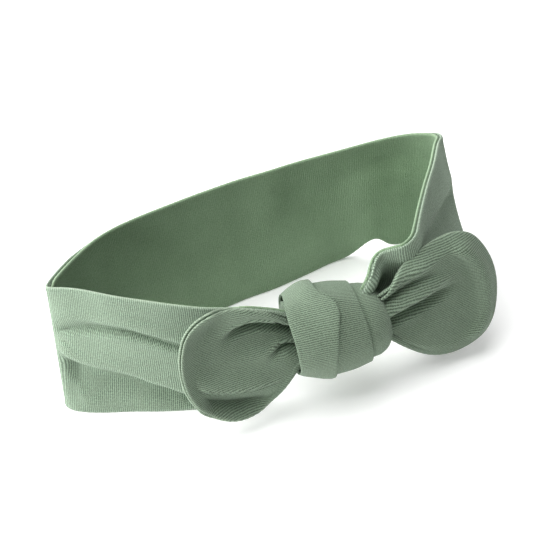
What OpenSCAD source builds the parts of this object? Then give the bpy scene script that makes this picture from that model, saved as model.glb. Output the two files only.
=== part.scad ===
// Knotted jersey headband: a double-layer band standing on its lower edge, with its
// two ends tied in a knot at the front and left out as two rounded tails.
// Millimetres, +X to the wearer's side with the right tail, +Y to the back, +Z up.

/* [Band] */
// Width of the band, which is its height as it stands
band_w = 62; // [40:1:90]
// Stretch of the band loop along X, as a factor on its relaxed plan
band_span_x = 1; // [0.8:0.05:1.3]
// Stretch of the band loop along Y, as a factor on its relaxed plan
band_span_y = 1; // [0.8:0.05:1.3]
// Thickness of one layer of jersey
ply_t = 1; // [0.6:0.1:1.6]
// Height of the band where it is gathered into the knot
neck_w = 22; // [14:1:24]
// Length over which the band narrows into the knot
neck_run = 38; // [25:1:60]

/* [Seams] */
// Thickness of the two raw edges turned in between the layers
allowance_t = 1; // [0.6:0.1:1.6]
// Width of the turned-in raw edges
allowance_w = 6; // [3:0.5:9]
// Thickness of the line of sewing thread along an edge
thread_t = 0.5; // [0.3:0.1:0.8]

/* [Knot] */
// Length of the knot along its axis
knot_l = 40; // [32:1:52]
// Radius of the knot at its fullest
knot_r = 19.5; // [17:0.5:25]
// Radius of the knot where it ends
knot_end_r = 17; // [16.5:0.5:21]
// Radius of the gathered core that the wrap is tied round
core_r = 13.7; // [13.4:0.1:14.5]
// Height of the knot's axis above the lower edge of the band
knot_z = 31; // [22:1:45]
// Angle that the knot's right end is turned back
knot_yaw = 12; // [0:1:25]
// Distance that the band enters the knot behind its axis
band_entry = 6; // [4:0.5:7]

/* [Tails] */
// Length of a tail from its hinge line to its tip
tail_l = 49; // [35:1:70]
// Width of a tail
tail_w = 47; // [30:1:60]
// Angle that the top of a tail leans back
tail_lean = 12; // [0:1:20]
// Height of a tail's middle above the knot's axis
tail_rise = 4; // [0:0.5:6]
// Width of a tail where it comes out of the knot
tail_neck_w = 20; // [14:1:24]
// Distance from the hinge line to where a tail's layers begin
tail_neck_l = 8; // [7:0.5:14]
// Radius of the gathered root that a tail turns on
root_r = 5; // [3.5:0.5:6]
// Distance that a tail leaves the knot in front of its axis
tail_exit = 4.5; // [4:0.5:7]
// Angle that the left tail's tip is turned to the front, from the X axis
left_tail_heading = 11; // [0:1:30]
// Angle that the right tail's tip is turned to the back, from the X axis
right_tail_heading = 18; // [-10:1:20]
// Room round a tail's root in the knot's mouth
root_gap = 0.3; // [0.2:0.1:0.6]

/* [Hidden] */

sage = [0.55, 0.66, 0.55];
deep_sage = [0.40, 0.50, 0.40];
pale_thread = [0.72, 0.80, 0.70];

// The knot's own directions: along its axis, and across it to the back.
knot_at = [26, -32];
along = [cos(knot_yaw), sin(knot_yaw)];
across = [-sin(knot_yaw), cos(knot_yaw)];
function knot_point(s, n) = knot_at + s * along + n * across;

// The band's plan: from the knot's left mouth, along the front to the left fold, round the
// back to the right fold, and forward into the right mouth. Close points make a fold.
// A neck point is its distance out of the mouth, and how far behind the entry it lies.
left_neck = [[-8, 0], [0, 0], [8, 0], [19, 1.5]];
right_neck = [[25, 10], [18, 1.5], [11, -1], [8, 0], [0, 0], [-8, 0]];
free_points = [
    [-40, -30], [-64, -25], [-81, -20], [-88.5, -16], [-88, -10], [-82, -1], [-69, 17],
    [-43, 30], [-10, 38], [24, 46], [54, 52], [78, 57], [86, 52], [86, 48], [82, 28], [75, 11]
];
route = concat(
    [for (p = left_neck) knot_point(-knot_l / 2 - p.x, band_entry + p.y)],
    [for (p = free_points) [p.x * band_span_x, p.y * band_span_y]],
    [for (p = right_neck) knot_point(knot_l / 2 + p.x, band_entry + p.y)]
);

// A uniform cubic B-spline through the route's spans.
steps = 4;
function basis(t) = [
    pow(1 - t, 3) / 6,
    (3 * pow(t, 3) - 6 * pow(t, 2) + 4) / 6,
    (-3 * pow(t, 3) + 3 * pow(t, 2) + 3 * t + 1) / 6,
    pow(t, 3) / 6
];
function spline_at(i, t) = basis(t) * [route[i], route[i + 1], route[i + 2], route[i + 3]];
spans = len(route) - 3;
plan = [for (i = [0 : spans - 1]) for (k = [0 : steps - 1]) spline_at(i, k / steps), spline_at(spans - 1, 1)];
last = len(plan) - 1;

function unit(v) = v / norm(v);
function side_of(v) = [v.y, -v.x];
// Outward direction at a plan point: away from the inside of the loop.
function outward(i) = -side_of(unit(plan[min(i + 1, last)] - plan[max(i - 1, 0)]));
function run_to(i) = i == 0 ? 0 : run_to(i - 1) + norm(plan[i] - plan[i - 1]);
loop_run = [for (i = [0 : last]) run_to(i)];
loop_l = loop_run[last];
function smooth(x) = let (c = min(1, max(0, x))) c * c * (3 - 2 * c);
function fullness(i) = smooth(min(loop_run[i], loop_l - loop_run[i]) / neck_run);
function low_z(i) = (1 - fullness(i)) * (knot_z - neck_w / 2);
function high_z(i) = band_w + (1 - fullness(i)) * (knot_z + neck_w / 2 - band_w);

// Where the loop is divided into its front, left side, back and right side.
left_fold = 5 * steps;
back_from = 11 * steps;
back_to = 16 * steps;

// The layers, counted from the middle of the band's thickness.
face_in = allowance_t / 2;
face_out = allowance_t / 2 + ply_t;

// Distance in from an edge to the turned-in raw edges, just clear of the thread.
turn_in = thread_t + 0.05;

// Extents that centre the model on its origin.
hinge_l = knot_point(-knot_l / 2, -tail_exit);
hinge_r = knot_point(knot_l / 2, -tail_exit);
tail_plies = allowance_t + 2 * ply_t;
lean_out = tail_w / 2 * sin(tail_lean) + tail_plies / 2;
left_x = min([for (p = plan) p.x]) - face_out;
right_x = max(max([for (p = plan) p.x]) + face_out, hinge_r.x + tail_l * cos(right_tail_heading));
paddle_mid = tail_l - tail_w / 2;
front_y = min(
    hinge_l.y - paddle_mid * sin(left_tail_heading) - lean_out,
    knot_at.y - knot_r
);
back_y = max([for (p = plan) p.y]) + face_out;
centre = [(left_x + right_x) / 2, (front_y + back_y) / 2];

// One ring of a strip: its four corners at a plan point, between two offsets and two heights.
function ring(i, a, b, z0, z1) = let (p = plan[i], o = outward(i)) [
    [p.x + a * o.x, p.y + a * o.y, z0],
    [p.x + b * o.x, p.y + b * o.y, z0],
    [p.x + b * o.x, p.y + b * o.y, z1],
    [p.x + a * o.x, p.y + a * o.y, z1]
];

// A strip of cloth along the plan, with its lower and upper heights at each point.
module swept_strip(i0, i1, a, b, lows, highs) {
    count = i1 - i0;
    points = [for (i = [i0 : i1]) each ring(i, a, b, lows[i], highs[i])];
    sides = [
        for (k = [0 : count - 1]) for (c = [0 : 3])
            let (p = 4 * k + c, q = 4 * k + (c + 1) % 4)
                each [[p, q + 4, q], [p, p + 4, q + 4]]
    ];
    top = 4 * count;
    ends = [[1, 2, 3], [0, 1, 3], [top + 2, top + 1, top], [top + 3, top + 2, top]];
    translate([-centre.x, -centre.y, 0])
        polyhedron(points, concat(sides, ends));
}

// A strip of cloth that stands straight from the lower edge to the upper edge.
module straight_strip(i0, i1, a, b) {
    inner = [for (i = [i0 : i1]) plan[i] + a * outward(i)];
    outer = [for (i = [i1 : -1 : i0]) plan[i] + b * outward(i)];
    translate([-centre.x, -centre.y, 0])
        linear_extrude(band_w)
            polygon(concat(inner, outer));
}

lows = [for (i = [0 : last]) low_z(i)];
highs = [for (i = [0 : last]) high_z(i)];

module panel(i0, i1, a, b) {
    straight = lows[i0] == 0 && lows[i1] == 0 && highs[i0] == band_w && highs[i1] == band_w;
    if (straight) {
        straight_strip(i0, i1, a, b);
    } else {
        swept_strip(i0, i1, a, b, lows, highs);
    }
}

module outer_panel_front() {
    color(sage) panel(0, left_fold, face_in, face_out);
}

module outer_panel_left_side() {
    color(sage) panel(left_fold, back_from, face_in, face_out);
}

module outer_panel_back() {
    color(sage) panel(back_from, back_to, face_in, face_out);
}

module outer_panel_right_side() {
    color(sage) panel(back_to, last, face_in, face_out);
}

module lining_front() {
    color(deep_sage) panel(0, left_fold, -face_out, -face_in);
}

module lining_left_side() {
    color(deep_sage) panel(left_fold, back_from, -face_out, -face_in);
}

module lining_back() {
    color(deep_sage) panel(back_from, back_to, -face_out, -face_in);
}

module lining_right_side() {
    color(deep_sage) panel(back_to, last, -face_out, -face_in);
}

// The raw edges turned in between the layers.
module top_edge_allowance() {
    upper = [for (z = highs) z - turn_in];
    lower = [for (z = highs) z - turn_in - allowance_w];
    color(deep_sage) swept_strip(0, last, -face_in, face_in, lower, upper);
}

module bottom_edge_allowance() {
    lower = [for (z = lows) z + turn_in];
    upper = [for (z = lows) z + turn_in + allowance_w];
    color(deep_sage) swept_strip(0, last, -face_in, face_in, lower, upper);
}

module top_edge_thread() {
    lower = [for (z = highs) z - thread_t];
    color(pale_thread) swept_strip(0, last, -thread_t / 2, thread_t / 2, lower, highs);
}

module bottom_edge_thread() {
    upper = [for (z = lows) z + thread_t];
    color(pale_thread) swept_strip(0, last, -thread_t / 2, thread_t / 2, lows, upper);
}

// Places a shape drawn along X on the knot's axis.
module on_knot() {
    translate([knot_at.x - centre.x, knot_at.y - centre.y, knot_z])
        rotate([0, 0, knot_yaw])
            children();
}

// The room that the two tail roots turn in.
module mouth_pockets() {
    for (end = [-1, 1])
        translate([end * knot_l / 2, -tail_exit, 0])
            cylinder(h = tail_neck_w + 2 * root_gap, r = root_r + root_gap, center = true, $fn = 64);
}

// A ring round the knot's axis, between two radii, with a fuller middle if bulge is given.
module wrap_ring(half, r0, r1, bulge) {
    arc_n = 12;
    crown = [for (k = [0 : arc_n]) let (t = 2 * k / arc_n - 1) [r1 + bulge * (1 - t * t), t * half]];
    rotate([0, 90, 0])
        rotate_extrude($fn = 96)
            polygon(concat([[r0, half], [r0, -half]], crown));
}

wrap_half = knot_l / 2 - 1;

module knot_wrap() {
    color(sage)
        on_knot()
            difference() {
                wrap_ring(wrap_half, core_r + ply_t, knot_end_r, knot_r - knot_end_r);
                mouth_pockets();
            }
}

module knot_wrap_lining() {
    color(deep_sage)
        on_knot()
            difference() {
                wrap_ring(wrap_half, core_r, core_r + ply_t, 0);
                mouth_pockets();
            }
}

module knot_core() {
    color(sage)
        on_knot()
            difference() {
                rotate([0, 90, 0])
                    cylinder(h = knot_l, r = core_r, center = true, $fn = 96);
                mouth_pockets();
            }
}

// A tail's outline, drawn with its neck towards the hinge line and shrunk by an inset.
module tail_outline(inset) {
    r = tail_w / 2;
    shoulder_u = tail_l - r;
    waist = [for (k = [0 : 8]) let (t = k / 8)
        [tail_neck_l + t * (shoulder_u - tail_neck_l), (tail_neck_w + (tail_w - tail_neck_w) * smooth(t)) / 2]];
    tip = [for (a = [80 : -10 : -80]) [shoulder_u + r * cos(a), r * sin(a)]];
    under = [for (k = [8 : -1 : 0]) [waist[k].x, -waist[k].y]];
    full = concat(waist, tip, under);
    if (inset == 0) {
        polygon(full);
    } else {
        intersection() {
            offset(delta = -inset) polygon(full);
            translate([tail_neck_l, -tail_w])
                square([tail_l, 2 * tail_w]);
        }
    }
}

// A flat ply of a tail between two depths, standing in the tail's leaning plane.
module tail_ply(d0, d1) {
    rotate([90, 0, 0])
        translate([0, 0, d0])
            linear_extrude(d1 - d0)
                children();
}

// Places a tail: side is -1 for the left and 1 for the right, drawn outward along X.
module on_hinge(side) {
    hinge = side < 0 ? hinge_l : hinge_r;
    heading = side < 0 ? 180 + left_tail_heading : right_tail_heading;
    translate([hinge.x - centre.x, hinge.y - centre.y, knot_z])
        rotate([0, 0, heading])
            children();
}

module leaning(side) {
    translate([0, 0, tail_rise])
        rotate([side * -tail_lean, 0, 0])
            children();
}

module tail_front_panel(side) {
    front = side > 0 ? [face_in, face_out] : [-face_out, -face_in];
    on_hinge(side)
        leaning(side)
            tail_ply(front[0], front[1])
                tail_outline(0);
}

module tail_back_panel(side) {
    back = side > 0 ? [-face_out, -face_in] : [face_in, face_out];
    on_hinge(side)
        leaning(side)
            tail_ply(back[0], back[1])
                tail_outline(0);
}

module tail_allowance(side) {
    on_hinge(side)
        leaning(side)
            tail_ply(-face_in, face_in)
                difference() {
                    tail_outline(thread_t);
                    tail_outline(thread_t + allowance_w);
                }
}

module tail_thread(side) {
    on_hinge(side)
        leaning(side)
            tail_ply(-thread_t / 2, thread_t / 2)
                difference() {
                    tail_outline(0);
                    tail_outline(thread_t);
                }
}

module tail_root(side) {
    on_hinge(side) {
        cylinder(h = tail_neck_w, r = root_r, center = true, $fn = 64);
        leaning(side)
            translate([0, -tail_plies / 2, -tail_neck_w / 2])
                cube([tail_neck_l, tail_plies, tail_neck_w - tail_rise]);
    }
}

module left_tail_front_panel() {
    color(sage) tail_front_panel(-1);
}

module left_tail_back_panel() {
    color(sage) tail_back_panel(-1);
}

module left_tail_allowance() {
    color(deep_sage) tail_allowance(-1);
}

module left_tail_thread() {
    color(pale_thread) tail_thread(-1);
}

module left_tail_root() {
    color(sage) tail_root(-1);
}

module right_tail_front_panel() {
    color(sage) tail_front_panel(1);
}

module right_tail_back_panel() {
    color(sage) tail_back_panel(1);
}

module right_tail_allowance() {
    color(deep_sage) tail_allowance(1);
}

module right_tail_thread() {
    color(pale_thread) tail_thread(1);
}

module right_tail_root() {
    color(sage) tail_root(1);
}

outer_panel_front();
outer_panel_left_side();
outer_panel_back();
outer_panel_right_side();
lining_front();
lining_left_side();
lining_back();
lining_right_side();
top_edge_allowance();
bottom_edge_allowance();
top_edge_thread();
bottom_edge_thread();
knot_wrap();
knot_wrap_lining();
knot_core();
left_tail_front_panel();
left_tail_back_panel();
left_tail_allowance();
left_tail_thread();
left_tail_root();
right_tail_front_panel();
right_tail_back_panel();
right_tail_allowance();
right_tail_thread();
right_tail_root();
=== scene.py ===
import math
import bmesh
import bpy
import numpy as np
from mathutils import Matrix, Vector


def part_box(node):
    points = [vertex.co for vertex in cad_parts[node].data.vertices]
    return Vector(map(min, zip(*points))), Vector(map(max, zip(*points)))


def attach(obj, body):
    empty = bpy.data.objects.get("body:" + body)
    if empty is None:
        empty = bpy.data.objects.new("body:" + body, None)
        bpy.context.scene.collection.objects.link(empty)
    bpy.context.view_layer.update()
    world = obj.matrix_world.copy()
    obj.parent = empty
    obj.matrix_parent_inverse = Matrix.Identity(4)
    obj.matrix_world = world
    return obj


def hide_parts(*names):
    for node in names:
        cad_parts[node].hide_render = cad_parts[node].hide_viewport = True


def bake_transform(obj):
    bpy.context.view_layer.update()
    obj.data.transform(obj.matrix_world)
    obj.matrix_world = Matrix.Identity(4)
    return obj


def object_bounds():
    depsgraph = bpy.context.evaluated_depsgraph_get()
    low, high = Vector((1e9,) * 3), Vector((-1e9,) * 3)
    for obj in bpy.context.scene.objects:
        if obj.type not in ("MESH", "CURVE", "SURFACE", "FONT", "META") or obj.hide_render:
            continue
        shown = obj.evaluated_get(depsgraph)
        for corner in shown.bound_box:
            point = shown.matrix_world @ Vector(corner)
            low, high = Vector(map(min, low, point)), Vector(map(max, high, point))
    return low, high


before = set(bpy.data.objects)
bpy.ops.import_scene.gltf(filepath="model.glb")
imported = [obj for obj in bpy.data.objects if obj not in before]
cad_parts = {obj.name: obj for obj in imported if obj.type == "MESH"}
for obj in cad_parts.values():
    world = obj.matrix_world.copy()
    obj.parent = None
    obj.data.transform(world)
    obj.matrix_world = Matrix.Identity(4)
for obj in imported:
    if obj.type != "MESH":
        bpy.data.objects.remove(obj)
cad_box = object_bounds()


# ---------------------------------------------------------------- outer panel and lining
# The band is one strip of fine sage cotton jersey, 62 mm wide and doubled: the outer panel
# faces away from the head and the lining faces it. The two plies are sewn together along
# both edges, turned right side out and pressed.
BAND_W = 62.0
MM = 0.001

# The band is followed from the knot's left mouth, round the head, to the right mouth. Each
# row is one station: lower edge x, y, z, then upper edge x, y, z, in millimetres.
band_stations = np.array([
    (12, -31, 26, 12, -31, 37), (3, -33, 19, 3.5, -33.5, 45),
    (-6, -33.5, 11, -6, -34.5, 49.5), (-16, -34, 4, -16, -35, 53),
    (-29, -33, 0, -27, -35.5, 56), (-41.4, -31.5, 0, -40, -33, 58.8),
    (-54, -29, 0, -51, -29, 60.2), (-64, -26.5, 0, -61, -24.5, 60.8),
    (-78.4, -23.5, 0, -73, -17.5, 61.1), (-87, -20.8, 0, -81, -13.5, 60.8),
    (-91.6, -17.4, 0, -86.3, -11.3, 60.3), (-91.8, -13.8, 0, -87.4, -9.5, 60.2),
    (-87.5, -6, 0, -84, -3.5, 60.4), (-77.5, 5, 0, -76.5, 6.5, 60.7),
    (-69.8, 13.5, 0, -68.7, 14.8, 60.9), (-60.5, 19.5, 0, -60, 20.8, 61.0),
    (-50, 24.5, 0, -50, 25.2, 61.1), (-35, 28.6, 0, -35, 30.5, 61.4),
    (-20, 32.0, 0, -20, 34.6, 61.7), (-5, 35.4, 0, -5, 38.3, 62),
    (10, 41, 0, 10, 41.6, 62), (25, 47.5, 0, 25, 44.6, 62),
    (37, 50, 1.5, 40, 47, 62), (49.5, 49.5, 9.5, 55, 49.3, 62),
    (58, 51.5, 2.5, 67, 49.8, 62), (70, 54, 0, 74.5, 49.2, 62),
    (83, 52, 0, 80.5, 47, 62), (89, 47.5, 0, 83, 43.5, 62),
    (90, 39, 0, 80.8, 38.5, 62), (86.5, 25, 0, 76.5, 25, 62),
    (80, 10, 0, 71, 10.5, 62), (73, -3, 0, 66, -4, 62),
    (66.5, -12, 3, 62.3, -15.5, 62), (61, -18, 7, 59.6, -22, 61.8),
    (56, -22, 11, 55.5, -25.2, 61), (52, -23.5, 14, 50.5, -24.8, 60),
    (48, -24.5, 17, 46.5, -24.4, 59), (45.5, -25.5, 19, 43.6, -26, 57.8),
    (43, -26.5, 21, 41.6, -29, 56), (41, -27.5, 23, 39.7, -31.5, 53),
    (36, -29, 26, 35, -32.5, 46), (30, -29.5, 27, 29, -32, 38),
], float)
LAST = len(band_stations) - 1


def through(points, t):
    """A smooth line through the points, read at the places t, counted in points."""
    p = np.vstack([2 * points[0] - points[1], points, 2 * points[-1] - points[-2]])
    i = np.clip(np.floor(t).astype(int), 0, len(points) - 2)
    f = (t - i)[:, None]
    a, b, c, d = p[i], p[i + 1], p[i + 2], p[i + 3]
    return 0.5 * (2 * b + (c - a) * f + (2 * a - 5 * b + 4 * c - d) * f ** 2
                  + (3 * b - a - 3 * c + d) * f ** 3)


def ease(x):
    """0 before 0, 1 after 1, and smooth between."""
    c = np.clip(x, 0, 1)
    return c * c * (3 - 2 * c)


def bell(x, width):
    """1 at 0, falling away smoothly on both sides."""
    return np.exp(-(x / width) ** 2)


def unit(v):
    """Vectors drawn out or in to a length of 1."""
    return v / np.maximum(np.linalg.norm(v, axis=-1), 1e-9)[..., None]


def lengths_along(line):
    """The length of a line from its start to each of its points."""
    return np.concatenate([[0], np.cumsum(np.linalg.norm(np.diff(line, axis=0), axis=1))])


def softened(line, spread):
    """A line of close points with its small wiggles smoothed out."""
    k = np.exp(-np.linspace(-2.5, 2.5, 2 * spread + 1) ** 2)
    k /= k.sum()
    ends = np.vstack([np.repeat(line[:1], spread, 0), line, np.repeat(line[-1:], spread, 0)])
    return np.stack([np.convolve(ends[:, c], k, "valid") for c in range(line.shape[1])], 1)


POINTS_A_STATION = 40
fine_t = np.linspace(0, LAST, LAST * POINTS_A_STATION + 1)
edge_lines = softened(through(band_stations, fine_t), 14)
mean_line = (edge_lines[:, :3] + edge_lines[:, 3:]) / 2
run = lengths_along(mean_line)
plan_tangent = np.gradient(mean_line[:, :2], axis=0)
plan_tangent /= np.linalg.norm(plan_tangent, axis=1)[:, None]


def at_run(s, values):
    """A value kept for each point of the band's run, read at the run s."""
    return np.interp(s, run, values)


def band_edges(s):
    """The lower and the upper edge of the band at the run s."""
    low = np.stack([at_run(s, edge_lines[:, c]) for c in range(3)], -1)
    high = np.stack([at_run(s, edge_lines[:, c]) for c in range(3, 6)], -1)
    return low, high


def profile(z, heights, depths):
    """A fold profile over height z: eased from each depth to the next."""
    d = np.zeros_like(z) + depths[0]
    for h0, h1, d0, d1 in zip(heights, heights[1:], depths, depths[1:]):
        d = d + (d1 - d0) * ease((z - h0) / np.maximum(h1 - h0, 0.05))
    return d


def eased_line(places, values, spread=12):
    """A line through the values with its corners rounded off, ready to be read."""
    fine = np.linspace(places[0] - 2, places[-1] + 2, 400)
    line = softened(np.interp(fine, places, values)[:, None], spread)[:, 0]
    return lambda s: np.interp(s, fine, line)


# How high each long crease stands, by station.
upper_crease = eased_line([2, 3, 4.4, 5.0, 5.8, 6.7, 7.6, 8.4, 9.5],
                          [28, 30.8, 35.8, 38.4, 41.3, 43.4, 43.0, 41.8, 40.4], 18)
slant_crease = eased_line([26.6, 28, 29.5, 31, 32.5, 34.5], [35, 41, 47, 51.5, 54, 52], 18)
lower_crease = eased_line([2, 4.4, 5.4, 6.7, 7.9, 8.7, 9.8],
                          [5, 9, 17.3, 23.6, 27.3, 29.5, 32.5], 18)


def left_wall_folds(t, z):
    """Two long creases that cross the front left wall towards the knot."""
    upper, lower = upper_crease(t), lower_crease(t)
    crisp = ease((9.2 - t) / 2.6)
    under = 8.5 - 3.2 * crisp
    hollow = lower - np.minimum(8.0, lower * 0.55)
    front = profile(z, [0, hollow, lower - 0.7, lower + 0.9, upper - 1.7,
                        upper + 0.3, upper + under, upper + under + 8, BAND_W],
                    [0, -4.9, 1.5, 3.2, 1.2 + 0.4 * crisp, -1.3 - 2.2 * crisp,
                     1.0 + 0.7 * crisp, 0.6, 0])
    depth = front * ease((t - 2.5) / 2) * ease((10.3 - t) / 1.4)
    # A small fold at the foot of the left corner, and a dent above it.
    foot = z - np.interp(t, [7.6, 8.6, 9.6], [3.5, 6.5, 17])
    depth += 0.5 * bell(foot, 3.2) * ease((t - 7.4) / 0.9) * ease((10 - t) / 0.5)
    dent = z - np.interp(t, [8.6, 9.5], [34, 38])
    depth -= 0.5 * bell(dent, 1.3) * bell(t - 9.1, 0.35)
    return depth


def back_wall_folds(t, z, share):
    """Soft waves in the back wall, and a wide crease near its right end."""
    s = np.interp(t, fine_t, run)
    back = ease((t - 12) / 2) * ease((27 - t) / 2)
    calm = 1 - 0.75 * ease((share - 0.75) / 0.2)
    waves = (0.5 * np.sin(s / 6.3 + 0.02 * z) + 0.22 * np.sin(s / 3.6 + 1.3 - 0.03 * z)
             + 0.35 * np.sin(z / 8 + s / 11))
    crease = z - np.interp(t, [21, 24.5, 27], [40, 43, 40])
    wide = 1.3 * np.tanh(crease / 5) * bell(crease, 14)
    return back * calm * waves + wide * ease((t - 20.5) / 3) * ease(27 - t)


def right_wall_folds(t, z):
    """The right wall's upper part rolls out over a slanting fold."""
    roll = profile(z - slant_crease(t), [-36, -9.5, -0.8, 0.9, 10], [0, -5.6, 0.2, 1.5, 0])
    return roll * ease((t - 26.8) / 2.2) * ease((35 - t) / 2)


def mouth_gathers(t, share):
    """Gathers that run into the knot's two mouths."""
    gather = np.maximum(ease((5 - t) / 4), ease((t - 34) / 4))
    return (gather * 1.5 * np.sin(share * 15.5 + 0.9)
            * ease(share / 0.12) * ease((1 - share) / 0.12))


def band_folds(t, z, share):
    """How far the cloth stands out from its straight wall, at station t and height z."""
    return (left_wall_folds(t, z) + back_wall_folds(t, z, share) + right_wall_folds(t, z)
            + mouth_gathers(t, share))


def band_middle(s, share, slack=0):
    """The middle of the doubled cloth, at run s and at a share of the way up."""
    t = at_run(s, fine_t)
    low, high = band_edges(s)
    p = low + (high - low) * share[..., None]
    out = np.stack([-at_run(s, plan_tangent[:, 1]), at_run(s, plan_tangent[:, 0])], -1)
    out /= np.linalg.norm(out, axis=-1)[..., None]
    z = share * BAND_W
    # A slack ply bridges the sharp creases on its inner side.
    reach = (-2, -1, 0, 1, 2) if slack else (0,)
    depths = [band_folds(t, z + slack * k, share) for k in reach]
    p[..., :2] += out * np.minimum.reduce(depths)[..., None]
    return p


# The rolled rim of a ply: how far out from the middle of the cloth, and how far in from
# its edge. The face of the ply and its hidden side go on from the rim's two ends.
RIM_ROLL = [(0.12, 1.1), (0.24, 0.5), (0.50, 0.12), (0.85, 0.0), (1.18, 0.12), (1.42, 0.5),
            (1.55, 1.0), (1.55, 1.7), (1.42, 2.8)]
FACE_OUT, FACE_INSET = 1.38, 2.8
HIDDEN_OUT, HIDDEN_INSET = 0.12, 1.1
RIM_CREST = 0.6
STITCH = 2.6
PUCKER = 0.05


def ply_section(rows):
    """A ply's section rows, parted into out from the middle, share across and inset."""
    return np.array(rows).T


def painted_rim_highlight(out, inset):
    """The rim's crest, where a painted highlight makes the colour paler."""
    return bell(inset, 0.45) * (out > 0.4)


def stitched_inset(inset, along):
    """The rim's inset at each length along it, puckered once a stitch."""
    pucker = PUCKER * np.cos(along[:, None] * 2 * math.pi / STITCH)
    return inset[None, :] + np.where(inset[None, :] < RIM_CREST, PUCKER + pucker, 0)


def smooth_piece(name, points, faces):
    """A smooth mesh piece from points in millimetres."""
    mesh = bpy.data.meshes.new(name)
    mesh.from_pydata((points * MM).tolist(), [], faces)
    mesh.polygons.foreach_set("use_smooth", np.ones(len(mesh.polygons), bool))
    piece = bpy.data.objects.new(name, mesh)
    bpy.context.scene.collection.objects.link(piece)
    return piece


def face_outward(piece):
    """Turns the faces so that they look outward."""
    shell = bmesh.new()
    shell.from_mesh(piece.data)
    if shell.calc_volume(signed=True) < 0:
        bmesh.ops.reverse_faces(shell, faces=shell.faces)
    shell.to_mesh(piece.data)
    shell.free()
    return piece


def cloth_piece(name, loops, uv, ring_uv=None, around_uv=None, rim_highlight=None):
    """A cloth piece from loops of points (loop, point, xyz), closed at both ends or, with
    ring_uv, into a ring. ring_uv and around_uv are what the knit gains in a full turn."""
    n, m = loops.shape[:2]
    i, j = np.meshgrid(np.arange(n - 1 if ring_uv is None else n), np.arange(m), indexing="ij")
    i1, j1 = (i + 1) % n, (j + 1) % m
    faces = np.stack([i * m + j, i * m + j1, i1 * m + j1, i1 * m + j], -1).reshape(-1, 4)
    knit = uv.reshape(-1, 2)
    corner_uv = knit[faces]
    if ring_uv is not None:
        corner_uv[i1.reshape(-1) == 0, 2:] += np.array(ring_uv)
    if around_uv is not None:
        corner_uv[j1.reshape(-1) == 0, 1:3] += np.array(around_uv)
    ends = []
    if ring_uv is None:
        ends = [list(range(m - 1, -1, -1)), list(range((n - 1) * m, n * m))]
    piece = smooth_piece(name, loops.reshape(-1, 3), faces.tolist() + ends)
    flat_uv = np.vstack([corner_uv.reshape(-1, 2)] + [knit[end] for end in ends])
    layer = piece.data.uv_layers.new(name="knit")
    layer.data.foreach_set("uv", (flat_uv * MM).astype(np.float32).ravel())
    # A painted highlight for the rims' crests, kept on the points.
    if rim_highlight is not None:
        rim_highlight_layer = piece.data.attributes.new("rim_highlight", "FLOAT", "POINT")
        rim_highlight_layer.data.foreach_set("value", np.broadcast_to(rim_highlight, (n, m)).astype(np.float32).ravel())
    piece.data.update()
    return face_outward(piece)


# The jersey's ribs run across the strip, with the small slanted legs of the stitches in
# each rib, a soft fuzz over them and an uneven dye.
RIB = 0.82
COURSE = 0.62
# The next two values paint a highlight on the rims' crests: how much of it, and how much paler than
# the ribs' light it is.
RIM_HIGHLIGHT_SHARE = 0.32
RIM_HIGHLIGHT_PALE = (1.75, 1.6, 1.7)


def set_sockets(node, values):
    for socket, value in values.items():
        node.inputs[socket].default_value = value


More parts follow.
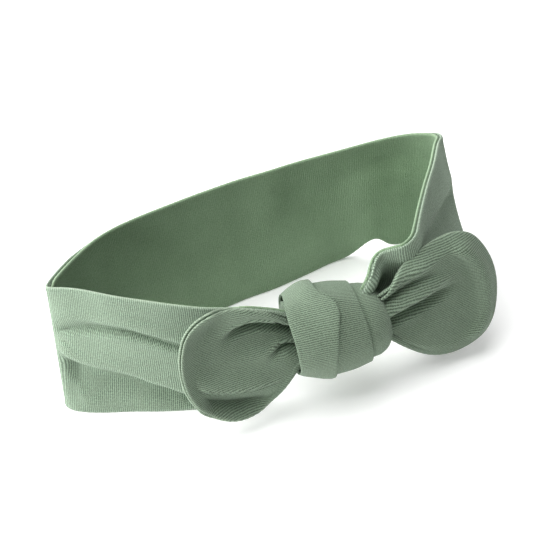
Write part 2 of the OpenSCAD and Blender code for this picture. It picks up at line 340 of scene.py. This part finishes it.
def jersey(name, dark, light, rib_depth):
    """A jersey of one dye; its colour runs from the dark of its grooves to the light of its ribs,
    which is painted shade in the grooves.
    """
    material = bpy.data.materials.new(name)
    material.use_nodes = True
    nodes, links = material.node_tree.nodes, material.node_tree.links
    nodes.clear()

    def add(kind, **settings):
        node = nodes.new(kind)
        for key, value in settings.items():
            setattr(node, key, value)
        return node

    def maths(operation, a, b=None):
        node = add("ShaderNodeMath", operation=operation)
        for socket, value in zip(node.inputs, (a, b)):
            if isinstance(value, (int, float)):
                socket.default_value = value
            elif value is not None:
                links.new(value, socket)
        return node.outputs[0]

    place = add("ShaderNodeUVMap", uv_map="knit").outputs[0]

    def noise(values):
        node = add("ShaderNodeTexNoise", noise_dimensions="2D")
        set_sockets(node, values)
        links.new(place, node.inputs["Vector"])
        return node.outputs["Fac"]

    drift = noise({"Scale": 160, "Detail": 2})
    fuzz = noise({"Scale": 1500, "Detail": 4, "Roughness": 0.7})
    dye = noise({"Scale": 45, "Detail": 4, "Roughness": 0.6})

    parts = add("ShaderNodeSeparateXYZ")
    links.new(place, parts.inputs[0])
    across = maths("MULTIPLY", parts.outputs[0], 1 / (RIB * MM))
    across = maths("ADD", across, maths("MULTIPLY", drift, 0.5))
    along = maths("MULTIPLY", parts.outputs[1], 1 / (COURSE * MM))
    column = maths("SINE", maths("MULTIPLY", across, 2 * math.pi))
    slant = maths("PINGPONG", across, 0.5)
    leg = maths("ADD", along, maths("MULTIPLY", slant, 1.2))
    leg = maths("SINE", maths("MULTIPLY", leg, 2 * math.pi))
    height = maths("ADD", maths("MULTIPLY", column, 0.62 * rib_depth), maths("MULTIPLY", leg, 0.34))
    height = maths("ADD", height, maths("MULTIPLY", fuzz, 1.9))
    # Painted shade: the colour darkens where the knit's height is low, in the grooves between ribs
    # and stitch legs, over an uneven dye.
    groove_shade_and_dye = maths("ADD", maths("SUBTRACT", height, 0.7), maths("MULTIPLY", dye, 0.5))

    ramp = add("ShaderNodeValToRGB")
    ramp.color_ramp.elements[0].position = 0.02
    ramp.color_ramp.elements[0].color = (*dark, 1)
    ramp.color_ramp.elements[1].position = 1.0
    ramp.color_ramp.elements[1].color = (*light, 1)
    links.new(groove_shade_and_dye, ramp.inputs["Fac"])
    # The rims' crests are mixed toward a paler colour: a painted highlight.
    rim_highlight = add("ShaderNodeAttribute", attribute_name="rim_highlight").outputs["Fac"]
    rim_highlit = add("ShaderNodeMixRGB", blend_type="MIX")
    rim_highlit.inputs[2].default_value = (*(a * b for a, b in zip(light, RIM_HIGHLIGHT_PALE)), 1)
    links.new(maths("MULTIPLY", rim_highlight, RIM_HIGHLIGHT_SHARE), rim_highlit.inputs[0])
    links.new(ramp.outputs["Color"], rim_highlit.inputs[1])

    bump = add("ShaderNodeBump")
    set_sockets(bump, {"Strength": 0.75, "Distance": 0.00022})
    links.new(height, bump.inputs["Height"])
    shader = add("ShaderNodeBsdfPrincipled")
    set_sockets(shader, {"Roughness": 0.93, "Specular IOR Level": 0.18, "Sheen Weight": 0.25,
                         "Sheen Roughness": 0.55, "Sheen Tint": (0.85, 0.95, 0.85, 1)})
    links.new(rim_highlit.outputs[0], shader.inputs["Base Color"])
    links.new(bump.outputs["Normal"], shader.inputs["Normal"])
    output = add("ShaderNodeOutputMaterial")
    links.new(shader.outputs["BSDF"], output.inputs["Surface"])
    return material


# One sage jersey in three copies: the band's outer ply painted lighter and the knot and tails painted
# darker, as painted light and shade, and the lining painted lighter and greener as painted light
# bounced inside the loop.
sage_jersey_painted_lighter = jersey("sage_jersey_painted_lighter", (0.078, 0.114, 0.076), (0.310, 0.412, 0.302), 0.8)
tied_jersey_painted_darker = jersey("tied_jersey_painted_darker", (0.068, 0.097, 0.064), (0.246, 0.334, 0.236), 0.9)
lining_jersey = jersey("lining_jersey", (0.140, 0.217, 0.125), (0.272, 0.392, 0.248), 0.3)

LOOP_STEP = 0.8
FACE_ROWS = 104
HIDDEN_ROWS = 12
LOW_ROW, HIGH_ROW = 0.36, 0.70
DRAWN_IN = 1.3
LINING_SLACK = 0.8
NEAR_RUN, NEAR_SHARE = 0.6, 0.01
ABOVE_TABLE = 0.05

band_rows = [(out, 0.0, inset) for out, inset in RIM_ROLL]
band_rows += [(FACE_OUT, k / FACE_ROWS, FACE_INSET) for k in range(1, FACE_ROWS)]
band_rows += [(out, 1.0, inset) for out, inset in reversed(RIM_ROLL)]
band_rows += [(HIDDEN_OUT, 1 - k / HIDDEN_ROWS, HIDDEN_INSET) for k in range(1, HIDDEN_ROWS)]


def crease_rows(t, base_share):
    """Shares up the band for each mesh row, laid along the creases so that these stay clean."""
    left = ease((t - 1.5) / 1.5) * ease((11.8 - t) / 1.5)
    right = ease((t - 25.5) / 1.5) * ease((36 - t) / 1.5)
    low = LOW_ROW + left * (lower_crease(t) / BAND_W - LOW_ROW)
    high = (HIGH_ROW + left * (upper_crease(t) / BAND_W - HIGH_ROW)
            + right * (slant_crease(t) / BAND_W - HIGH_ROW))
    return np.array([np.interp(base_share, [0, LOW_ROW, HIGH_ROW, 1], [0, a, b, 1])
                     for a, b in zip(low, high)])


def band_ply(name, side):
    """One ply of the band, on the outside (side 1) or the inside (side -1) of the loop."""
    sites = np.arange(0, run[-1], LOOP_STEP)
    out, base_share, inset = ply_section(band_rows)
    s = np.repeat(sites[:, None], len(out), 1)
    t = at_run(sites, fine_t)
    low, high = band_edges(sites)
    width = np.linalg.norm(high - low, axis=1)[:, None]
    margin = stitched_inset(inset, sites) / width
    # The ply on the inside of a bend draws its top rim in, out of sight of the other.
    drawn = (ease((t - 12.5) / 1.5) * ease((27 - t) / 1.5) if side > 0
             else ease(t - 2.2) * ease((11.8 - t) / 0.8))
    top_margin = margin + DRAWN_IN * drawn[:, None] / width
    share = np.clip(margin + crease_rows(t, base_share) * (1 - margin - top_margin), 0, 1)
    slack = LINING_SLACK if side < 0 else 0
    p = band_middle(s, share, slack)
    along = (band_middle(s + NEAR_RUN, share, slack)
             - band_middle(s - NEAR_RUN, share, slack))
    upward = (band_middle(s, share + NEAR_SHARE, slack)
              - band_middle(s, share - NEAR_SHARE, slack))
    normal = unit(np.cross(upward, along))
    loops = p + normal * (side * out)[None, :, None]
    loops[..., 2] = np.maximum(loops[..., 2], ABOVE_TABLE)
    # A painted highlight on the rims' crests, weaker from station 28 on towards the knot's right
    # mouth.
    rim_highlight = painted_rim_highlight(out, inset) * (1 - 0.75 * ease((t - 28) / 4))[:, None]
    return cloth_piece(name, loops, np.stack([s, share * BAND_W], -1), rim_highlight=rim_highlight)


outer_panel = band_ply("outer_panel", 1)
outer_panel.data.materials.append(sage_jersey_painted_lighter)
lining = band_ply("lining", -1)
lining.data.materials.append(lining_jersey)

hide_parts("outer_panel_front", "outer_panel_left_side", "outer_panel_back",
            "outer_panel_right_side")
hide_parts("lining_front", "lining_left_side", "lining_back", "lining_right_side",
            "top_edge_allowance", "bottom_edge_allowance")

# The back of the band moves away when the loop is stretched. Here the two plies only have their
# placings baked into their points.
for piece in (outer_panel, lining):
    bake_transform(piece)


# ---------------------------------------------------------------- edge stitching
# The closing seam runs in the groove between the two plies, along the top and the bottom
# edge: short stitches of polyester thread, pulled in a little way below the rims.
THREAD_R = 0.2
THREAD_SIDES = 6
SEAM_INSET = 1.1

thread = bpy.data.materials.new("sewing_thread")
thread.use_nodes = True
twist = thread.node_tree.nodes.new("ShaderNodeTexWave")
set_sockets(twist, {"Scale": 900, "Distortion": 1.5})
twist_ramp = thread.node_tree.nodes.new("ShaderNodeValToRGB")
twist_ramp.color_ramp.elements[0].color = (0.20, 0.27, 0.20, 1)
twist_ramp.color_ramp.elements[1].color = (0.33, 0.43, 0.32, 1)
thread_shader = thread.node_tree.nodes["Principled BSDF"]
set_sockets(thread_shader, {"Roughness": 0.6})
thread.node_tree.links.new(twist.outputs["Fac"], twist_ramp.inputs["Fac"])
thread.node_tree.links.new(twist_ramp.outputs["Color"], thread_shader.inputs["Base Color"])

# One stitch, end to end: share of its length, share of its girth, and its rise.
STITCH_STEPS = [(0.0, 0.35, -0.25), (0.12, 0.9, 0.02), (0.35, 1, 0.1), (0.65, 1, 0.1),
                (0.88, 0.9, 0.02), (1.0, 0.35, -0.25)]


def stitches(name, starts, stops, ups):
    """Separate stitches, each a thin round bar with pinched ends."""
    verts, faces = [], []
    angles = np.arange(THREAD_SIDES) * 2 * math.pi / THREAD_SIDES
    for a, b, up in zip(starts, stops, ups):
        side = unit(np.cross(b - a, up))
        first = len(verts)
        for share, girth, rise in STITCH_STEPS:
            middle = a + (b - a) * share + up * rise
            for angle in angles:
                way = math.cos(angle) * side + math.sin(angle) * up
                verts.append(middle + THREAD_R * girth * way)
        last = first + THREAD_SIDES * (len(STITCH_STEPS) - 1)
        for ring in range(first, last, THREAD_SIDES):
            for q in range(THREAD_SIDES):
                q1 = (q + 1) % THREAD_SIDES
                faces.append((ring + q, ring + q1, ring + THREAD_SIDES + q1, ring + THREAD_SIDES + q))
        faces.append(tuple(first + q for q in reversed(range(THREAD_SIDES))))
        faces.append(tuple(last + q for q in range(THREAD_SIDES)))
    piece = smooth_piece(name, np.array(verts), faces)
    piece.data.materials.append(thread)
    return face_outward(piece)


def band_seam(name, top):
    """The stitches along the band's top edge, or along its bottom edge."""
    half_gap, inner_inset = 0.25, 4
    starts = np.arange(STITCH / 2, run[-1] - STITCH, STITCH)

    def on_seam(s, inset):
        share = 1 - inset / BAND_W if top else inset / BAND_W
        return band_middle(s, np.full(len(s), share))

    a = on_seam(starts + half_gap, SEAM_INSET)
    b = on_seam(starts + STITCH - half_gap, SEAM_INSET)
    return stitches(name, a, b, unit((a + b) / 2 - on_seam(starts + STITCH / 2, inner_inset)))


top_stitches = band_seam("top_stitches", True)
bottom_stitches = band_seam("bottom_stitches", False)
for piece, node in ((top_stitches, "top_edge_thread"), (bottom_stitches, "bottom_edge_thread")):
    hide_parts(node)
    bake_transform(piece)


# ---------------------------------------------------------------- the knot's wrap
# One end of the doubled jersey strip passes once round the gathered middle. Its width is
# laid in three pleats: the left lies over the middle one, and that over the right.
knot_lo, knot_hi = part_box("knot_core")
KNOT_YAW = math.radians(12)
KNOT_AT = np.array([*((knot_lo + knot_hi) / 2)]) / MM
ALONG = np.array([math.cos(KNOT_YAW), math.sin(KNOT_YAW), 0])
ACROSS = np.array([-math.sin(KNOT_YAW), math.cos(KNOT_YAW), 0])
RISE = np.array([0, 0, 1.0])
SHIFT_BACK, SHIFT_UP = 0.643, 0.766
KNOT_SIDES = 192
KNIT_RADIUS = 18.0
PLEAT_THICK = 1.25
TUCKED = 5


def on_knot(s, angle, radius):
    """A point of the knot: angle 0 faces forward and a quarter turn faces up."""
    # The wrap sits higher and further back at its left end than at its right.
    shift = np.interp(s, [-20.5, -11, -2, 8, 14, 20], [3.4, 2.8, 1.9, 1.0, 0.5, 0.6])
    n = SHIFT_BACK * shift - radius * np.cos(angle)
    z = SHIFT_UP * shift + radius * np.sin(angle)
    return KNOT_AT + s[..., None] * ALONG + n[..., None] * ACROSS + z[..., None] * RISE


def turned(values, spread=5):
    """A value round the knot, smoothed where it meets itself."""
    k = np.hanning(2 * spread + 3)[1:-1]
    k /= k.sum()
    return np.convolve(np.concatenate([values[-spread:], values, values[:spread]]), k, "valid")


# The pleats' edges, as places along the knot at each angle round it.
angles = np.linspace(0, 2 * math.pi, KNOT_SIDES, endpoint=False) - math.pi
degrees = np.degrees(angles)
left_edge_s = turned(np.interp(
    degrees, [-180, -110, -80, -30, 0, 45, 75, 95, 120, 180],
    [-18.4, -19.2, -20.6, -21.0, -21.6, -21.6, -20.8, -19.4, -18.4, -18.4]))
over_s = turned(np.interp(
    degrees, [-180, -120, -60, -25, 0, 30, 55, 71, 82, 95, 130, 160, 180],
    [-6.2, -6.6, -6.8, -6.6, -6.3, -3.8, -0.5, -0.3, -4.2, -5.6, -5.2, -5.6, -6.2]))
next_s = turned(np.interp(
    degrees, [-180, -90, -28, 0, 22, 67, 98, 140, 180],
    [9.6, 9.6, 9.4, 9.0, 9.0, 8.8, 9.2, 9.5, 9.6]))
right_edge_s = np.full(KNOT_SIDES, 20.4)
# Near the top of the knot the middle pleat lies flush with the left one, and over the
# front the left pleat stands fuller.
flush = turned(ease((degrees - 68) / 8) * ease((97 - degrees) / 8))
fuller = turned(ease((degrees + 45) / 40) * ease((108 - degrees) / 45))


def pleat(name, s_from, s_to, radius_at):
    """One pleat: a ring of doubled cloth with round edges, between two lines."""
    rows = 46
    edge_rows = 5
    half = PLEAT_THICK / 2
    turn = np.linspace(0, math.pi, edge_rows + 2)[1:-1]
    share = (1 - np.cos(np.linspace(0, math.pi, rows))) / 2
    share = 0.35 * share + 0.65 * np.linspace(0, 1, rows)
    loops, uvs = [], []
    for k, angle in enumerate(angles):
        s0, s1 = s_from[k] + half, s_to[k] - half
        s = s0 + (s1 - s0) * share
        r = radius_at(s, k)
        slope = np.gradient(r, s)
        outer = np.stack([s, r], 1)
        inner = outer + PLEAT_THICK * unit(np.stack([slope, -np.ones_like(slope)], 1))
        edges = []
        for near, far, sign in ((outer[-1], inner[-1], 1), (inner[0], outer[0], -1)):
            middle, reach = (near + far) / 2, (near - far) / 2
            side = np.array([sign * abs(reach[1]), 0])
            edges.append([middle + reach * math.cos(a) + side * math.sin(a) for a in turn])
        section = np.vstack([outer, edges[0], inner[::-1], edges[1]])
        loops.append(on_knot(section[:, 0], np.full(len(section), angle), section[:, 1]))
        uvs.append(np.stack([np.full(len(section), angle * KNIT_RADIUS), section[:, 0]], 1))
    return cloth_piece(name, np.array(loops), np.array(uvs), ring_uv=(2 * math.pi * KNIT_RADIUS, 0))


# How far each pleat stands from the knot's middle, by its place along the knot.
left_crown = eased_line([-21.6, -20.6, -19, -17, -14, -11.2, -8.5, -6, 0],
                        [14.8, 15.7, 16.8, 17.8, 19.1, 20.2, 20.8, 20.7, 20.3])
left_front = eased_line([-21.6, -20.8, -18, -10, -5, 0], [18.0, 18.7, 19.1, 19.6, 20.0, 20.1])
middle_crown = eased_line([-14, -9, -6.5, -0.8, 1.8, 4.5, 6.7, 9.6],
                          [17.6, 18.9, 19.1, 18.8, 18.6, 18.1, 17.6, 17.0])
right_crown = eased_line([4, 8.6, 10.8, 13.6, 16, 17.6, 18.8, 19.6, 20.3],
                         [15.3, 15.8, 15.9, 15.5, 14.6, 13.6, 12.2, 10.8, 9.2])


def left_radius(s, k):
    crest = 0.3 * math.sin(3 * angles[k] + 0.7)
    return left_crown(s) * (1 - fuller[k]) + left_front(s) * fuller[k] + crest * ease((s + 20) / 6)


def middle_radius(s, k):
    sag = 0.3 * math.sin(2 * angles[k] + 2.1)
    past = s - over_s[k]
    return middle_crown(s) + sag + 1.3 * flush[k] * bell(past, 3.5) * ease((past + 1) / 1.2)


def right_radius(s, k):
    return right_crown(s) + 0.25 * math.sin(2 * angles[k] + 0.4)


left_pleat = pleat("knot_left_pleat", left_edge_s, over_s, left_radius)
middle_pleat = pleat("knot_middle_pleat", over_s - TUCKED, next_s, middle_radius)
right_pleat = pleat("knot_right_pleat", next_s - TUCKED, right_edge_s, right_radius)
for piece, cut in ((left_pleat, (0.018, 0.120)), (middle_pleat, (0.018, 0.112)),
                   (right_pleat, (0.017, 0.092))):
    piece.data.materials.append(tied_jersey_painted_darker)
    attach(piece, "band")
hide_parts("knot_wrap", "knot_wrap_lining")


# ---------------------------------------------------------------- the knot's core
# The other end of the jersey strip is gathered to pass through the wrap. It fills the wrap,
# and its gathers show in the two mouths as deep folds that fan out from the middle.
CORE_SIDES = 160
CORE_KNIT_RADIUS = 13


def gathered_core():
    """A closed bundle of cloth along the knot, with its gathers running lengthwise."""
    stations = np.concatenate([np.linspace(-18.9, -17, 6), np.linspace(-16, 16, 24),
                               np.linspace(17, 20.2, 10)])
    turn = np.linspace(0, 2 * math.pi, CORE_SIDES, endpoint=False)
    loops, uvs = [], []
    for s in stations:
        reach = np.interp(s, [-20.6, -19.4, -16, 16, 19, 20.2], [13.6, 14.2, 14.2, 12.8, 9.0, 5.5])
        fold = 1.1 * np.sin(9 * turn + 0.25 * s) + 0.5 * np.sin(17 * turn + 1.0)
        fold *= np.interp(abs(s), [0, 14, 20], [0.2, 0.4, 0.5])
        loops.append(on_knot(np.full(CORE_SIDES, s), turn, reach + fold))
        uvs.append(np.stack([turn * CORE_KNIT_RADIUS, np.full(CORE_SIDES, s)], 1))
    return cloth_piece("knot_core_gathers", np.array(loops), np.array(uvs),
                       around_uv=(2 * math.pi * CORE_KNIT_RADIUS, 0))


core = gathered_core()
core.data.materials.append(tied_jersey_painted_darker)
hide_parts("knot_core")
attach(core, "band")


# ---------------------------------------------------------------- the tails
# The two ends of the strip stand out of the knot as rounded tails, each a front and a
# back ply of jersey, sewn round the edge and turned. They leave the knot gathered and then
# open out.
TAIL_Z = 35.0
LEAN = math.radians(12)
ROOT_U = -9.0
ROOT_NARROWER = 1.6
ROOT_UNSEWN = 8
RIM_POINTS = 190
TAIL_FACE_ROWS = 52
TAIL_HIDDEN_ROWS = 10
TAIL_RIB_SCALE = 1.12
HINGES = {-1: KNOT_AT - 20 * ALONG - 4.5 * ACROSS, 1: KNOT_AT + 20 * ALONG - 4.5 * ACROSS}


class TailFrame:
    """Where a tail stands: outward, up its lean, and towards the front."""

    def __init__(self, side, heading):
        turn = math.radians(heading)
        back = np.array([-math.sin(turn), math.cos(turn), 0])
        self.origin = np.array([HINGES[side][0], HINGES[side][1], TAIL_Z])
        self.out = np.array([side * math.cos(turn), side * math.sin(turn), 0])
        self.up = np.array([0, 0, math.cos(LEAN)]) + back * math.sin(LEAN)
        self.front = -back * math.cos(LEAN) + np.array([0, 0, math.sin(LEAN)])

    def place(self, u, v, d):
        return (self.origin + u[..., None] * self.out + v[..., None] * self.up
                + d[..., None] * self.front)


left_frame = TailFrame(-1, 11)
right_frame = TailFrame(1, 18)

# Each outline starts at the top of the root and ends at the bottom of it.
left_outline = np.array([
    (-9, 6), (-5, 9), (-0.5, 12.4), (6.4, 18.2), (15.6, 23.0), (24.8, 25.4), (32.6, 24.8),
    (38.2, 22.3), (42.5, 18.0), (45.1, 12.3), (46.5, 6.8), (47.0, 1.1), (46.5, -5.6),
    (44.0, -12.8), (39.6, -19.0), (33.2, -23.8), (26.0, -26.0), (18.5, -25.4), (11.8, -22.0),
    (5.6, -16.6), (0.4, -11.8), (-4, -8.5), (-9, -6)], float)
right_outline = np.array([
    (-9, 5), (-5, 7.5), (-0.8, 10.4), (6.4, 15.6), (14.1, 18.9), (21.2, 20.8), (28.2, 21.8),
    (34.4, 21.9), (40.2, 20.2), (44.6, 16.7), (48.0, 10.6), (50.2, 3.4), (50.8, -4.3),
    (49.8, -11.7), (47.4, -19.4), (43.8, -24.8), (39.2, -28.0), (32.6, -29.8), (25.5, -30.0),
    (18.7, -28.4), (12.3, -24.8), (6.4, -19.8), (1.4, -14.4), (-4, -9), (-9, -6)], float)


def even_outline(points):
    """The outline as evenly spaced points, and its length."""
    fine = softened(through(points, np.linspace(0, len(points) - 1, 1200)), 18)
    length = lengths_along(fine)
    at = np.linspace(0, length[-1], RIM_POINTS)
    return np.stack([np.interp(at, length, fine[:, c]) for c in range(2)], 1), length[-1]


def left_depth(u, v, rim):
    """How far the left tail's cloth stands forward of its flat, rim being the distance in."""
    line = np.interp(u, [-2, 0.2, 5.4, 11.8, 17, 23.5, 27.2, 34],
                     [9, 10.4, 13.1, 15.8, 16.8, 15.5, 13.6, 9])
    d = profile(v - line, [-17, -7, -2.0, 1.4, 5, 12], [0, -3.0, -6.0, 2.0, 3.2, 0.8])
    d *= ease((31 - u) / 16)
    ridge = np.interp(u, [0, 6.9, 13.3, 21.6, 31.6, 39.2, 44],
                      [-12, -12.8, -13.2, -12.4, -10.4, -7.1, -4])
    roll = profile(v - ridge, [-13, -6.8, -0.8, 0.9, 12], [-1.6, -4.4, -0.2, 2.6, 0])
    d += roll * (ease((u - 5) / 18) * ease((43 - u) / 5))
    tuck = v - np.interp(u, [-2, 2.2, 5, 8, 12], [0.2, 2.0, 2.3, 1.0, -1])
    d += profile(tuck, [-6, -0.9, 0.6, 6], [0, -2.6, 1.3, 0]) * ease((12 - u) / 7)
    d += 1.2 * bell(np.hypot(u - 12, v - 8), 9)
    d += ease((u - 14) / 20) * 3.8 * np.clip(1 - rim / 9, 0, 1) ** 2
    return d


def right_depth(u, v, rim):
    """How far the right tail's cloth stands forward of its flat."""
    line = np.interp(u, [-2, 0.7, 5.4, 10, 16.9, 24.2, 31.2, 36],
                     [-2.2, -1.7, -0.8, -0.4, 0.4, 1.8, 2.6, 2.8])
    d = profile(v - line, [-15, -6, -0.9, 1.6, 4, 9], [0, -0.9, -4.4, 0.6, 4.0, 1.6])
    d *= ease((36 - u) / 22)
    d -= 3.0 * bell(v - line + 0.4, 0.8) * ease((25 - u) / 12)
    split = v - np.interp(u, [-2, 0, 5.1, 12.2, 19.1, 26], [6.6, 7.2, 9.0, 10.4, 11, 11])
    d += profile(split, [-4, -0.4, 0.9, 4, 8], [0, -2.4, -1.6, 2.0, 0.8]) * ease((27 - u) / 17)
    d += 2.3 * bell(rim - 7.0, 2.8) * ease((u - 30) / 8)
    d -= 0.9 * bell(np.hypot(u - 34, v + 2), 6)
    d -= 4.2 * np.clip(1 - rim / 7.5, 0, 1) ** 2 * ease((u - 2) / 12)
    return d


tail_rows = [(FACE_OUT, k / TAIL_FACE_ROWS, FACE_INSET) for k in range(TAIL_FACE_ROWS)]
tail_rows += [(out, 1.0, inset) for out, inset in reversed(RIM_ROLL)]
tail_rows += [(HIDDEN_OUT, 1 - k / TAIL_HIDDEN_ROWS, HIDDEN_INSET)
              for k in range(1, TAIL_HIDDEN_ROWS + 1)]


class TailCloth:
    """The middle of a tail's doubled cloth, reached from the points of its rim."""

    def __init__(self, tail, outline, depth):
        self.tail, self.depth = tail, depth
        self.edge, self.length = even_outline(outline)
        toward = -np.gradient(self.edge, axis=0)
        self.inward = unit(np.stack([-toward[:, 1], toward[:, 0]], 1))
        tip = RIM_POINTS // 2
        if self.inward[tip, 0] > 0:
            self.inward = -self.inward
        root_v = np.linspace(outline[0][1] - ROOT_NARROWER, outline[-1][1] + ROOT_NARROWER,
                             RIM_POINTS)
        self.root = np.stack([np.full(RIM_POINTS, ROOT_U), root_v], 1)

    def surface(self, q, foot, into):
        """The place of the flat point q, whose nearest rim point and way in are given."""
        gap = np.sum((q - foot) * into, axis=-1)
        return self.tail.place(q[..., 0], q[..., 1], self.depth(q[..., 0], q[..., 1], gap))

    def on_seam(self, s, inset):
        """Points at the length s round the rim and a little way in from it."""
        at = np.linspace(0, self.length, RIM_POINTS)
        foot, into = (np.stack([np.interp(s, at, values[:, c]) for c in range(2)], 1)
                      for values in (self.edge, self.inward))
        into = unit(into)
        return self.surface(foot + into * inset, foot, into)


def tail_ply(name, cloth, side):
    """The front (side 1) or the back (side -1) ply of a tail."""
    out, share, inset = ply_section(tail_rows)
    foot, into = cloth.edge[:, None, :], cloth.inward[:, None, :]
    along = np.arange(RIM_POINTS) * cloth.length / (RIM_POINTS - 1)
    rim = foot + into * stitched_inset(inset, along)[..., None]
    flat = cloth.root[:, None, :] + (rim - cloth.root[:, None, :]) * share[None, :, None]

    def change(step):
        return cloth.surface(flat + step, foot, into) - cloth.surface(flat - step, foot, into)

    near = 0.4
    normal = unit(np.cross(change(np.array([near, 0])), change(np.array([0, near]))))
    normal *= np.sign(np.sum(normal * cloth.tail.front, axis=-1))[..., None]
    loops = cloth.surface(flat, foot, into) + normal * (side * out)[None, :, None]
    # A painted highlight on the tail's rim crests, fading out near the root.
    rim_highlight = painted_rim_highlight(out, inset) * ease((cloth.edge[:, 0] - 3) / 10)[:, None]
    knit = np.stack([flat[..., 1] * TAIL_RIB_SCALE, flat[..., 0]], -1)
    return cloth_piece(name, loops, knit, rim_highlight=rim_highlight)


def tail_seam(name, cloth):
    """The stitches round a tail, which stop short of its root."""
    half_gap, inner_inset = 0.35, 3.0
    starts = np.arange(ROOT_UNSEWN, cloth.length - ROOT_UNSEWN - STITCH, STITCH)
    a = cloth.on_seam(starts + half_gap, SEAM_INSET)
    b = cloth.on_seam(starts + STITCH - half_gap, SEAM_INSET)
    inner = cloth.on_seam(starts + STITCH / 2, inner_inset)
    return stitches(name, a, b, unit((a + b) / 2 - inner))


for label, tail, outline, depth in (("left", left_frame, left_outline, left_depth),
                                    ("right", right_frame, right_outline, right_depth)):
    body = label + "_tail"
    cloth = TailCloth(tail, outline, depth)
    front = tail_ply(body + "_front", cloth, 1)
    back = tail_ply(body + "_back", cloth, -1)
    seam = tail_seam(body + "_stitches", cloth)
    front.data.materials.append(tied_jersey_painted_darker)
    back.data.materials.append(tied_jersey_painted_darker)
    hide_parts(body + "_front_panel", body + "_allowance", body + "_root")
    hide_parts(body + "_back_panel")
    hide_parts(body + "_thread")
    for piece in (front, back, seam):
        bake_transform(piece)


# ---------------------------------------------------------------- the table
# The headband stands on a flat table covered in matt white paper. It is bright enough to
# leave only the soft shadows under the cloth.
TABLE_HALF = 3
table_corners = [(-TABLE_HALF, -TABLE_HALF, 0), (TABLE_HALF, -TABLE_HALF, 0),
                 (TABLE_HALF, TABLE_HALF, 0), (-TABLE_HALF, TABLE_HALF, 0)]
floor_mesh = bpy.data.meshes.new("floor")
floor_mesh.from_pydata(table_corners, [], [(0, 1, 2, 3)])
floor = bpy.data.objects.new("floor", floor_mesh)
bpy.context.scene.collection.objects.link(floor)
paper = bpy.data.materials.new("white_paper")
paper.use_nodes = True
set_sockets(paper.node_tree.nodes["Principled BSDF"],
            {"Base Color": (0.93, 0.93, 0.93, 1), "Roughness": 0.9, "Specular IOR Level": 0.1,
             "Emission Color": (1, 1, 1, 1), "Emission Strength": 0.16})
floor.data.materials.append(paper)


# ---------------------------------------------------------------- the light
# A large soft window stands on the left and a broad ceiling of light hangs above, in a
# bright pale room that fills the shadows.
def soft_light(name, at, aim, size, power):
    lamp = bpy.data.lights.new(name, "AREA")
    lamp.shape = "DISK"
    lamp.size = size
    lamp.energy = power
    holder = bpy.data.objects.new(name, lamp)
    holder.location = at
    holder.rotation_euler = (Vector(aim) - Vector(at)).to_track_quat("-Z", "Y").to_euler()
    bpy.context.scene.collection.objects.link(holder)


soft_light("window", (-1.30, -0.30, 0.45), (0, 0, 0.03), 0.9, 26)
soft_light("ceiling", (-0.45, 0.22, 1.45), (0, 0, 0), 2.3, 52)
world = bpy.data.worlds.new("pale_room")
world.use_nodes = True
set_sockets(world.node_tree.nodes["Background"], {"Color": (1, 1, 1, 1), "Strength": 0.16})
bpy.context.scene.world = world
bpy.context.scene.view_settings.view_transform = "Standard"


# ---------------------------------------------------------------- the camera
# It stands in front of the knot, looks down on it and is tipped a little to one side. It
# has a long lens, and aims just behind the middle of the headband.
CAMERA_RISE = math.radians(38)
CAMERA_ROLL = math.radians(10)
CAMERA_AWAY = 0.7
AIM_OFF_MIDDLE = Vector((0.0002, 0.0165, -0.001))
target = (cad_box[0] + cad_box[1]) / 2 + AIM_OFF_MIDDLE
right = Vector((1, 0, 0))
up = Vector((0, math.sin(CAMERA_RISE), math.cos(CAMERA_RISE)))
away = Vector((0, -math.cos(CAMERA_RISE), math.sin(CAMERA_RISE)))
turned_right = right * math.cos(CAMERA_ROLL) - up * math.sin(CAMERA_ROLL)
turned_up = right * math.sin(CAMERA_ROLL) + up * math.cos(CAMERA_ROLL)
lens = bpy.data.cameras.new("camera")
lens.lens = 110.6
lens.sensor_width = 36
lens.clip_start = 0.01
camera = bpy.data.objects.new("camera", lens)
axes = Matrix((turned_right, turned_up, away)).transposed().to_4x4()
camera.matrix_world = Matrix.Translation(target + away * CAMERA_AWAY) @ axes
bpy.context.scene.collection.objects.link(camera)
bpy.context.scene.camera = camera

bpy.context.view_layer.update()
